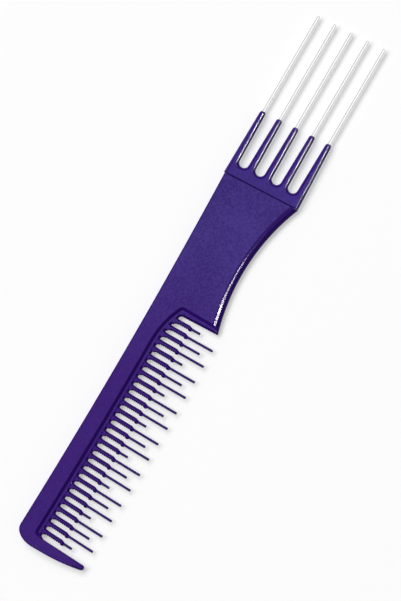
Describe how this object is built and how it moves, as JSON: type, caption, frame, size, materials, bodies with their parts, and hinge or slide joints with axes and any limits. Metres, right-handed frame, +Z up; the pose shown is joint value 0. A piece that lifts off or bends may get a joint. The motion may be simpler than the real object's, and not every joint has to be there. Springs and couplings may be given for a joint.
{
  "type": "teasing comb",
  "caption": "Flat moulded comb for teasing hair, with saw-edged teeth of mixed lengths, a broad handle with an arched edge, and a slotted lift head that holds straight steel prongs.",
  "frame": {"origin": "under the middle of the comb's length and width, on the surface that it lies on", "axes": "+X along the comb towards the prongs' tips, +Y towards its back edge, +Z up through its thickness"},
  "size_m": [0.2032, 0.028, 0.0036],
  "materials": {
    "comb_body": "fine matt texture",
    "lift_head": "smooth satin",
    "prongs": "polished"
  },
  "bodies": {
    "root": {"comb_body": "comb_body", "lift_head": "lift_head", "prong_1": "prongs", "prong_2": "prongs", "prong_3": "prongs", "prong_4": "prongs", "prong_5": "prongs"}
  },
  "joints": []
}
